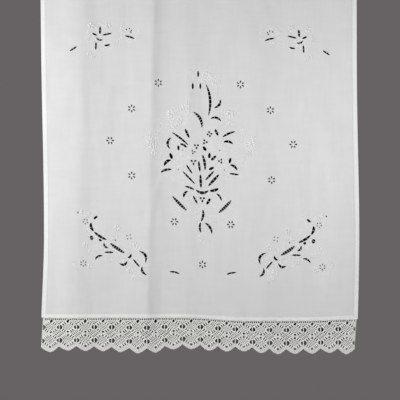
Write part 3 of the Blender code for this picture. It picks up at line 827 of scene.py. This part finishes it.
def clear_of_openings(x, z, room):
    """Whether a spot of the design, in millimetres, lies room or more away from every opening."""
    for leaf in openings + small_openings:
        run_x, run_z = leaf.to_x - leaf.from_x, leaf.to_z - leaf.from_z
        squared = run_x * run_x + run_z * run_z
        along = ((x - leaf.from_x) * run_x + (z - leaf.from_z) * run_z) / squared
        along = min(max(along, 0.0), 1.0)
        stand = 4.0 * leaf.bow * along * (1.0 - along) / squared ** 0.5
        if hypot(x - leaf.from_x - run_x * along + run_z * stand,
                 z - leaf.from_z - run_z * along - run_x * stand) < leaf.width / 2.0 + room:
            return False
    return True


worked_leaves = []
stems = []
for flower in FLOWERS:
    for petal in flower_petals(flower):
        worked_leaves += [petal, mirrored(petal)]
for sprig in SPRIGS:
    stems += [sprig_stem(sprig), mirrored(sprig_stem(sprig))]
    for leaf in sprig_leaves(sprig):
        worked_leaves += [leaf, mirrored(leaf)]
for sprig in LONE_SPRIGS:
    stems.append(sprig_stem(sprig))
    worked_leaves += sprig_leaves(sprig)

worked_leaves = [leaf for leaf in worked_leaves
                 if all(clear_of_openings(leaf.from_x + (leaf.to_x - leaf.from_x) * share,
                                          leaf.from_z + (leaf.to_z - leaf.from_z) * share,
                                          leaf.width / 2.0 + SATIN_ROOM) for share in (0.0, 0.5, 1.0))]
satin_bm = bmesh.new()
grain = satin_bm.verts.layers.float_vector.new("grain")
for leaf in worked_leaves:
    outline = leaf_outline(leaf, PETAL_STATIONS)
    base = [satin_bm.verts.new((x, CLOTH_Y - PAD_LIFT, z)) for x, z in outline]
    top = satin_bm.faces.new(base)
    ahead = Vector((leaf.to_x - leaf.from_x, 0.0, leaf.to_z - leaf.from_z)).normalized()
    bmesh.ops.inset_individual(satin_bm, faces=[top], thickness=PAD_SLOPE * leaf.width * MM,
                               use_even_offset=False)
    for vert in base + list(top.verts):
        vert[grain] = ahead
    for vert in top.verts:
        vert.co.y -= PAD_RISE
face_front(satin_bm)
hang(satin_bm)
add_piece("satin_leaves", satin_bm, [satin_stitch("satin_stitch", (0.87, 0.87, 0.865))])
lay_on_cloth("stems", [[leaf_point(stem, step / STEM_STEPS, 0.0) for step in range(STEM_STEPS + 1)]
                       for stem in stems], STEM_RADIUS, white_thread, flatness=0.7)

# Seed stitches. Short plump stitches are strewn over the cloth around the flowers and the cut leaves, each
# one sewn in the same cotton in a direction of its own. Their cotton is painted lighter, as painted light on
# them.
SEED_SPACING = 4.2  # millimetres
SEED_LENGTH = 2.6
SEED_RADIUS = 0.00055
SEED_ROOM = 2.6  # from an opening's edge, in millimetres
SEED_CROWDING = 0.6  # 0.5 would spread them evenly, and more crowds them towards a patch's middle
Patch = namedtuple("Patch", "x z reach_x reach_z")
PAIRED_PATCHES = [Patch(*row) for row in (
    (251, 706, 36, 38), (178, 718, 30, 23), (127, 445, 27, 25),
    (270, 230, 28, 40), (225, 180, 46, 26), (165, 140, 36, 38), (205, 145, 30, 20),
    (104, 594, 14, 14), (176, 529, 14, 14), (232, 445, 14, 14), (177, 356, 14, 14),
    (71, 241, 16, 16),
)]
LONE_PATCHES = [Patch(*row) for row in (
    (10, 616, 36, 32), (30, 596, 22, 22), (-52, 514, 36, 24), (-83, 491, 24, 30),
    (74, 516, 28, 18), (-60, 400, 46, 56), (60, 400, 40, 56), (0, 285, 84, 44), (4, 225, 26, 38),
)]
strewn = random.Random(11)
seed_routes = []
for patch in PAIRED_PATCHES + [patch._replace(x=-patch.x) for patch in PAIRED_PATCHES] + LONE_PATCHES:
    for number in range(round(pi * patch.reach_x * patch.reach_z / SEED_SPACING ** 2)):
        angle, out = strewn.uniform(0.0, 2.0 * pi), strewn.random() ** SEED_CROWDING
        x = patch.x + patch.reach_x * out * cos(angle)
        z = patch.z + patch.reach_z * out * sin(angle)
        if clear_of_openings(x, z, SEED_ROOM):
            turn = strewn.uniform(0.0, pi)
            half_x, half_z = SEED_LENGTH / 2.0 * cos(turn), SEED_LENGTH / 2.0 * sin(turn)
            seed_routes.append([design_place((x - half_x) * MM, (z - half_z) * MM),
                                design_place((x + half_x) * MM, (z + half_z) * MM)])
# The seeds' cotton is a lighter copy of the white thread: painted light, making up for the shade on their
# round sides.
seed_thread_painted_light = cotton_thread("painted_light_cotton", (0.93, 0.93, 0.92), 0.0009)
lay_on_cloth("seed_stitches", seed_routes, SEED_RADIUS, seed_thread_painted_light, flatness=0.5, sides=4)

# Hem stitches. The turned hems are caught down by hand with small slanting stitches that prick through to
# the front, one every few millimetres.
HEM_STITCH_PITCH = 0.0052
HEM_STITCH = 0.0012
HEM_STITCH_RADIUS = 0.00020
prick_routes = []
for number in range(int((PANEL_TOP - HEM_FOOT - FOOT_HEM) / HEM_STITCH_PITCH)):
    z = PANEL_TOP - HEM_STITCH_PITCH * (number + 0.5)
    for x, side in ((left_edge(z) + SIDE_HEM, 1.0), (right_edge(z) - SIDE_HEM, -1.0)):
        prick_routes.append([(x - side * HEM_STITCH / 2.0, z), (x + side * HEM_STITCH, z - HEM_STITCH)])
for number in range(int((RIGHT_END - LEFT_END) / HEM_STITCH_PITCH)):
    x = LEFT_END + HEM_STITCH_PITCH * (number + 0.5)
    z = hem_foot(x) + FOOT_HEM
    prick_routes.append([(x, z - HEM_STITCH / 2.0), (x + HEM_STITCH, z + HEM_STITCH)])
lay_on_cloth("hem_stitches", prick_routes, HEM_STITCH_RADIUS, white_thread, sides=4)

# Lace edging. A cotton lace of eighteen scallops. Ladders of slots and bars cross in a trellis, with a pair
# of half moons over every notch, and the trellis is filled with net, closer or more open by turns.
SCALLOPS = 18
SCALLOP_PITCH = 0.044
LACE_LEFT = -0.3957
LACE_TIP = -1.1975
LACE_SAG_SHARE = 0.45  # how much of the hem's sag is left in the line of tips
SCALLOP_RISE = 0.0125
SCALLOP_POWER = 1.5
RAGGED, RAGGED_PITCHES, RAGGED_SHARE = 0.00045, (0.0087, 0.0213), 0.7
# How far each scallop's tip hangs below the even line of tips, in millimetres, from the left
TIP_DROPS = (0.9, -3.4, -2.2, -1.3, 0.9, 3.9, 2.2, -5.6, -6.5, -3.4, -3.0, -4.3, 0.0, 3.0, 2.2, 1.7, 0.0, 3.9)
# The lace is drawn to the right as it was sewn on, most at one scallop, and its two cut ends lean
LACE_DRIFT, DRIFT_MIDDLE, DRIFT_REACH = 0.0048, 10.5, 3.6
END_LEAN, END_REACH = 0.0050, 0.8
LACE_GAP = 0.0003
END_ROOM = 0.0006  # kept clear along the lace's cut ends
LACE_Y = 0.0007
LAST_TIP = 0.001  # keeps the lace's right end with the last scallop
LACE_CELLS = 12  # cells of the ground to one scallop
LACE_ROWS = 12
# The trellis's crossings, as shares of the lace's depth: over the scallops' tips and over the notches
TIP_CROSSINGS = (0.10, 0.472, 0.85)
NOTCH_CROSSINGS = (0.28, 0.675)
# Holes in the lines of the tips: their place as a share of the depth, length, width and slant
TIP_HOLES = ((0.10, 0.0096, 0.0060, 0.45), (0.418, 0.0054, 0.0048, 0.0), (0.526, 0.0054, 0.0048, 0.0),
             (0.85, 0.0060, 0.0054, 0.0))
HOLE_SHIFT, HOLE_LEAN = 0.01, 0.2  # how unevenly they are set
HALF_MOON_WIDTH, HALF_MOON_HEIGHT, HALF_MOON_BAR = 0.0062, 0.0112, 0.0026
HALF_MOON_STEPS = 6
HALF_MOON_SIZES = ((-1.0, 0.90), (1.0, 1.12))  # the left one and the larger right one
HALF_MOON_UNEVEN = 0.7  # of the other holes' unevenness
HOLE_RIM_GROWTH = 0.0006
LADDER_HALF_WIDTH = 0.0044
LADDER_PITCH = 0.0049
LADDER_SLOT = 0.0025  # a slot's width, along the ladder
LADDER_SHORTEST = 0.82  # of the ladder's width, for its slots
SLOT_STRAIGHT = 0.6  # of a slot's length
# From a crossing's centre to the ladder's first bar
TIP_ROOMS = (0.0058, 0.0074, 0.0056)
NOTCH_ROOM = 0.0090
BAR_RADIUS_LACE = 0.00130
BAR_FLATNESS = 0.45
UNEVEN = 0.14
NET_WANDER, NET_EDGE = 0.00025, 0.01  # how unevenly knots sit, but for those on a net's edge
NET_TOP = -0.055  # where the top nets' upper corners would be, as a share of the depth
NET_TOP_ROOM = 0.0062  # from the hem to any net
NET_SIDE_ROOM = 0.0006  # from a ladder to the nets beside it
# Nets: meshes along and across a field, and half a thread's width
CLOSE_NET = (5, 3, 0.00095)
OPEN_NET = (4, 2, 0.00120)
TOP_NET = (3, 2, 0.00095)
TOP_HOLES = 8  # to one scallop, in the row under the hem
TOP_HOLE_DROP, TOP_HOLE_LENGTH, TOP_HOLE_WIDTH = 0.0034, 0.0048, 0.0029
TOP_HOLE_SHIFT, TOP_HOLE_LEANS = 0.12, (-0.6, 0.9)
TWILL_SLANT, TWILL_PITCH = 38.0, 0.0044
LACE_WHITE = (0.790, 0.792, 0.765)
hand = random.Random(5)


def lace_x(scallop, share=0.5):
    """Where the lace is at a number of scallops from its left end; share is the way down to the tips."""
    x = LACE_LEFT + SCALLOP_PITCH * scallop
    x += LACE_DRIFT * exp(-((scallop - DRIFT_MIDDLE) / DRIFT_REACH) ** 2)
    ends = exp(-(scallop / END_REACH) ** 2) + exp(-((SCALLOPS - scallop) / END_REACH) ** 2)
    return x + END_LEAN * (0.5 - share) * ends


def tip_line(scallop):
    """The height of the tips there, eased from each tip to the next."""
    place = min(max(scallop - 0.5, 0.0), SCALLOPS - 1.0 - LAST_TIP)
    before = int(place)
    share = ease(place - before)
    drop = TIP_DROPS[before] * (1.0 - share) + TIP_DROPS[before + 1] * share
    return LACE_TIP - LACE_SAG_SHARE * sag(lace_x(scallop)) - drop * MM


def lace_top(x):
    return hem_foot(x) - LACE_GAP


def lace_point(scallop, share):
    x = lace_x(scallop, share)
    return Vector((x, lace_top(x) + (tip_line(scallop) - lace_top(x)) * share))


def scallop_foot(scallop):
    """The lace's scalloped lower edge."""
    from_tip = abs(2.0 * (scallop - int(min(scallop, SCALLOPS - LAST_TIP))) - 1.0)
    x = lace_x(scallop)
    fine, long = [sin(2.0 * pi * x / pitch) for pitch in RAGGED_PITCHES]
    ragged = RAGGED * (fine + RAGGED_SHARE * long)
    return tip_line(scallop) + SCALLOP_RISE * from_tip ** SCALLOP_POWER + ragged


def lace_cloth(name, alpha, depth):
    """Thread work with a slanting weave, whose hollows are painted in shade, at depth times the threads'
    colour.
    """
    add, finish = new_material(name)
    place = add("TexCoord").outputs["Object"]
    waves = []
    for turn in (TWILL_SLANT, -TWILL_SLANT):
        turned = add("Mapping", {"Vector": place, "Rotation": (0.0, radians(turn), 0.0)})
        bands = add("TexWave", {"Vector": turned, "Scale": pi / 10.0 / TWILL_PITCH, "Distortion": 0.8,
                                "Detail": 1.0}, bands_direction="X")
        waves.append(bands.outputs["Fac"])
    weave = add("Math", {0: waves[0], 1: waves[1]}, operation="MAXIMUM")
    raised = add("Bump", {"Strength": 0.7, "Distance": 0.0003, "Height": weave})
    tint = blend(add, weave, [depth * value for value in LACE_WHITE], LACE_WHITE)
    return finish(add("BsdfPrincipled", {"Base Color": tint, "Roughness": 0.8, "Alpha": alpha,
                                         "Normal": raised, "Specular IOR Level": 0.25}))


# The last number is how dark the weave's hollows are painted: painted shade.
close_work = lace_cloth("lace_close_work", 0.92, 0.66)
open_net = lace_cloth("lace_open_net", 0.97, 0.74)
lace_thread = cotton_thread("lace_thread", (0.94, 0.94, 0.91), 0.0014)


def slot_outline(centre, ahead, length, width):
    """A six-cornered slot about its centre."""
    aside = Vector((-ahead.y, ahead.x)) * width / 2.0
    half = ahead * length / 2.0
    straight = SLOT_STRAIGHT * half
    return [tuple(centre + spot) for spot in (half, straight + aside, aside - straight, -half,
                                              -straight - aside, straight - aside)]


def half_moon(centre, side, scale, growth=0.0):
    straight = centre.x + side * (HALF_MOON_BAR / 2.0 - growth)
    outline = []
    for step in range(HALF_MOON_STEPS + 1):
        angle = -pi / 2.0 + pi * step / HALF_MOON_STEPS
        outline.append((straight + side * (HALF_MOON_WIDTH * scale + 2.0 * growth) * cos(angle),
                        centre.y + (HALF_MOON_HEIGHT / 2.0 * scale + growth) * sin(angle)))
    return outline


def inside_lace(outline):
    """Whether an outline keeps off the lace's two cut ends."""
    for x, z in outline:
        share = (lace_top(x) - z) / (lace_top(x) - LACE_TIP)
        if not lace_x(0.0, share) + END_ROOM < x < lace_x(SCALLOPS, share) - END_ROOM:
            return False
    return True


# Every ladder runs from a crossing over a tip to the next crossing over a notch.
ladders = []
for scallop in range(SCALLOPS):
    for row, share in enumerate(TIP_CROSSINGS):
        for notch_share in NOTCH_CROSSINGS[max(row - 1, 0):row + 1]:
            for notch in (scallop, scallop + 1):
                ladders.append((lace_point(scallop + 0.5, share), lace_point(notch, notch_share),
                                TIP_ROOMS[row]))

lace_holes = []
hole_rims = []
for scallop in range(SCALLOPS):
    for share, length, width, slant in TIP_HOLES:
        size = 1.0 + hand.uniform(-UNEVEN, UNEVEN)
        lean = Vector((slant + hand.uniform(-HOLE_LEAN, HOLE_LEAN), 1.0)).normalized()
        centre = lace_point(scallop + 0.5 + hand.uniform(-HOLE_SHIFT, HOLE_SHIFT), share)
        for outlines, wider in ((lace_holes, 0.0), (hole_rims, 2.0 * HOLE_RIM_GROWTH)):
            outlines.append(slot_outline(centre, lean, length * size + wider, width * size + wider))
for notch in range(SCALLOPS + 1):
    for share in NOTCH_CROSSINGS:
        centre = lace_point(notch, share)
        for side, scale in HALF_MOON_SIZES:
            scale *= 1.0 + hand.uniform(-UNEVEN, UNEVEN) * HALF_MOON_UNEVEN
            if inside_lace(half_moon(centre, side, scale)):
                lace_holes.append(half_moon(centre, side, scale))
                hole_rims.append(half_moon(centre, side, scale, HOLE_RIM_GROWTH))
for number in range(1, SCALLOPS * TOP_HOLES):
    x = lace_x((number + hand.uniform(-TOP_HOLE_SHIFT, TOP_HOLE_SHIFT)) / TOP_HOLES, 0.0)
    centre = Vector((x, lace_top(x) - TOP_HOLE_DROP))
    lean = Vector((hand.uniform(*TOP_HOLE_LEANS), 1.0)).normalized()
    length = TOP_HOLE_LENGTH * (1.0 + hand.uniform(-UNEVEN, UNEVEN))
    lace_holes.append(slot_outline(centre, lean, length, TOP_HOLE_WIDTH))

bars = []
for start, end, tip_room in ladders:
    run = end - start
    ahead = run.normalized()
    aside = Vector((-ahead.y, ahead.x))
    first, last = tip_room, run.length - NOTCH_ROOM
    count = max(2, round((last - first) / LADDER_PITCH))
    for number in range(count):
        spot = start + ahead * (first + (last - first) * (number + 0.5) / count)
        length = 2.0 * LADDER_HALF_WIDTH * hand.uniform(LADDER_SHORTEST, 1.0)
        outline = slot_outline(spot, aside, length, LADDER_SLOT * (1.0 + hand.uniform(-UNEVEN, UNEVEN)))
        if inside_lace(outline):
            lace_holes.append(outline)
    for number in range(count + 1):
        spot = start + ahead * (first + (last - first) * number / count)
        bars.append([tuple(spot + aside * LADDER_HALF_WIDTH * side) for side in (-1.0, 0.0, 1.0)])


def drawn_in(corners, room):
    """The corners of a convex outline once each of its sides is drawn in by room."""
    moved = []
    for number, spot in enumerate(corners):
        before = (spot - corners[number - 1]).normalized()
        after = (corners[(number + 1) % len(corners)] - spot).normalized()
        normals = Vector((before.y, -before.x)), Vector((after.y, -after.x))
        moved.append(spot + (normals[0] + normals[1]) * room / (1.0 + normals[0].dot(normals[1])))
    return moved


def net_patch(bm, corners, net):
    """Fill a four-cornered outline with net: its meshes are inset and taken out, and the threads stay."""
    meshes_along, meshes_across, thread = net
    verts = bmesh.ops.create_grid(bm, x_segments=meshes_along, y_segments=meshes_across, size=1.0)["verts"]
    for vert in verts:
        along, down = (vert.co.x + 1.0) / 2.0, (vert.co.y + 1.0) / 2.0
        spot = (corners[0] * (1.0 - along) + corners[1] * along) * (1.0 - down)
        spot += (corners[3] * (1.0 - along) + corners[2] * along) * down
        inner = all(NET_EDGE < share < 1.0 - NET_EDGE for share in (along, down))
        wander = [hand.uniform(-NET_WANDER, NET_WANDER) * inner for axis in range(2)]
        vert.co = spot.x + wander[0], LACE_Y, spot.y + wander[1]
    meshes = list(dict.fromkeys(face for vert in verts for face in vert.link_faces))
    for face in meshes:
        face.normal_update()
    threads = bmesh.ops.inset_individual(bm, faces=meshes, thickness=thread, use_even_offset=True)["faces"]
    for face in threads:
        face.material_index = 1
    bmesh.ops.delete(bm, geom=meshes, context="FACES_ONLY")


# Each net fills the field between four crossings. The fields stand over a tip and over a notch by turns.
net_fields = []
for half in range(1, SCALLOPS * 2):
    middle = half / 2.0
    if half % 2:
        own, beside, nets = TIP_CROSSINGS, NOTCH_CROSSINGS, (CLOSE_NET, CLOSE_NET)
    else:
        own, beside, nets = (NET_TOP, *NOTCH_CROSSINGS), TIP_CROSSINGS, (TOP_NET, OPEN_NET)
    for top, side, foot, net in zip(own, beside, own[1:], nets):
        corners = [lace_point(middle - 0.5, side), lace_point(middle, top),
                   lace_point(middle + 0.5, side), lace_point(middle, foot)]
        corners = drawn_in(corners, LADDER_HALF_WIDTH + NET_SIDE_ROOM)
        for corner in corners:
            corner.y = min(corner.y, lace_top(corner.x) - NET_TOP_ROOM)
        lace_holes.append([tuple(corner) for corner in corners])
        net_fields.append((corners, net))


def lace_place(column, row):
    scallop = column / LACE_CELLS
    x = lace_x(scallop, row / LACE_ROWS)
    top, foot = lace_top(x), scallop_foot(scallop)
    return x, LACE_Y, top + (foot - top) * row / LACE_ROWS


lace_bm = woven_sheet(SCALLOPS * LACE_CELLS, LACE_ROWS, lace_place)
lace_bm = cut_through(lace_bm, lace_holes, overlapping=True)
for corners, net in net_fields:
    net_patch(lace_bm, corners, net)
lace_bm.normal_update()
bmesh.ops.reverse_faces(lace_bm, faces=[face for face in lace_bm.faces if face.normal.y > 0.0])
hang(lace_bm)
lace = add_piece("lace_cloth", lace_bm, [close_work, open_net])
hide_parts("lace_edging")

# Raised threads of the lace: bars across the ladders, rims round the holes over the crossings, and three
# cords that follow the scallops.
BORDER_OFFSETS = (0.0008, 0.0024, 0.0040)
BORDER_STEPS = 12
BORDER_INSET = 0.025  # from the lace's ends, in scallops
BORDER_RADIUS = 0.00085
HOLE_RIM_RADIUS = 0.0006


def lay_on_lace(name, routes, radius, thread, closed=False, flatness=0.8):
    """Lay thread on the front of the lace, where it keeps off the cut ends."""
    lay_on_cloth(name, [route for route in routes if inside_lace(route)], radius, thread, closed, flatness,
                 sides=4, cloth_y=LACE_Y)


lay_on_lace("lace_ladder_bars", bars, BAR_RADIUS_LACE, lace_thread, flatness=BAR_FLATNESS)
lay_on_lace("lace_hole_rims", hole_rims, HOLE_RIM_RADIUS, lace_thread, closed=True)
border_routes = []
across = [BORDER_INSET + (SCALLOPS - 2.0 * BORDER_INSET) * step / SCALLOPS / BORDER_STEPS
          for step in range(SCALLOPS * BORDER_STEPS + 1)]
for offset in BORDER_OFFSETS:
    border_routes.append([(lace_x(scallop, 1.0), scallop_foot(scallop) + offset) for scallop in across])
border_routes.append([(lace_x(scallop, 0.0), lace_top(lace_x(scallop, 0.0)) - BORDER_OFFSETS[0])
                      for scallop in across])
border_cord = cotton_thread("border_cord", (0.80, 0.80, 0.775), 0.0030)
lay_on_lace("lace_border_cords", border_routes, BORDER_RADIUS, border_cord)

# Whip stitches. The lace isn't laid under the hem but set against it, edge to edge, and slanting stitches
# in the cloth's sewing thread join the two.
WHIP_PITCH = 0.0033
WHIP_START = 0.4  # of a stitch's pitch, from the lace's left end
WHIP_SLANT = 0.0006
WHIP_REACH = 0.0016
WHIP_RADIUS = 0.00025
whip_routes = []
whips = int((lace_x(SCALLOPS, 0.0) - lace_x(0.0, 0.0)) / WHIP_PITCH)
for number in range(whips):
    x = lace_x(0.0, 0.0) + WHIP_PITCH * (number + WHIP_START)
    join = hem_foot(x)
    whip_routes.append([(x + WHIP_SLANT * (way + 1.0), join + WHIP_REACH * way) for way in (-1.0, 0.0, 1.0)])
lay_on_cloth("whip_stitches", whip_routes, WHIP_RADIUS, white_thread, sides=4)
